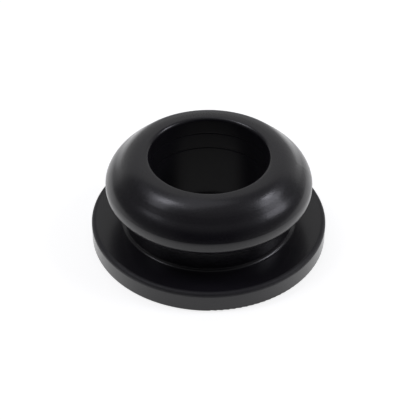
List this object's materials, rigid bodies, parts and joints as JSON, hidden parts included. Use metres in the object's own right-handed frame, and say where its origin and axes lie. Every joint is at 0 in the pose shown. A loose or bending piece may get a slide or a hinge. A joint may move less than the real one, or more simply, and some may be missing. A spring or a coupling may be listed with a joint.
{
  "type": "control switch seal",
  "caption": "Round rubber seal with a flat flange, a panel groove and a rounded snap bead; its open bore grips a switch body and seals the panel hole.",
  "frame": {"origin": "centre of the flange's underside, on the axis of the bore", "axes": "+Z along the bore from the flange up to the bead; +X and +Y lie in the flange's underside and are alike, because the part is round"},
  "size_m": [0.03, 0.03, 0.0125],
  "materials": {
    "rubber": "satin black moulded rubber"
  },
  "bodies": {
    "root": {"switch_seal": "rubber"}
  },
  "joints": []
}
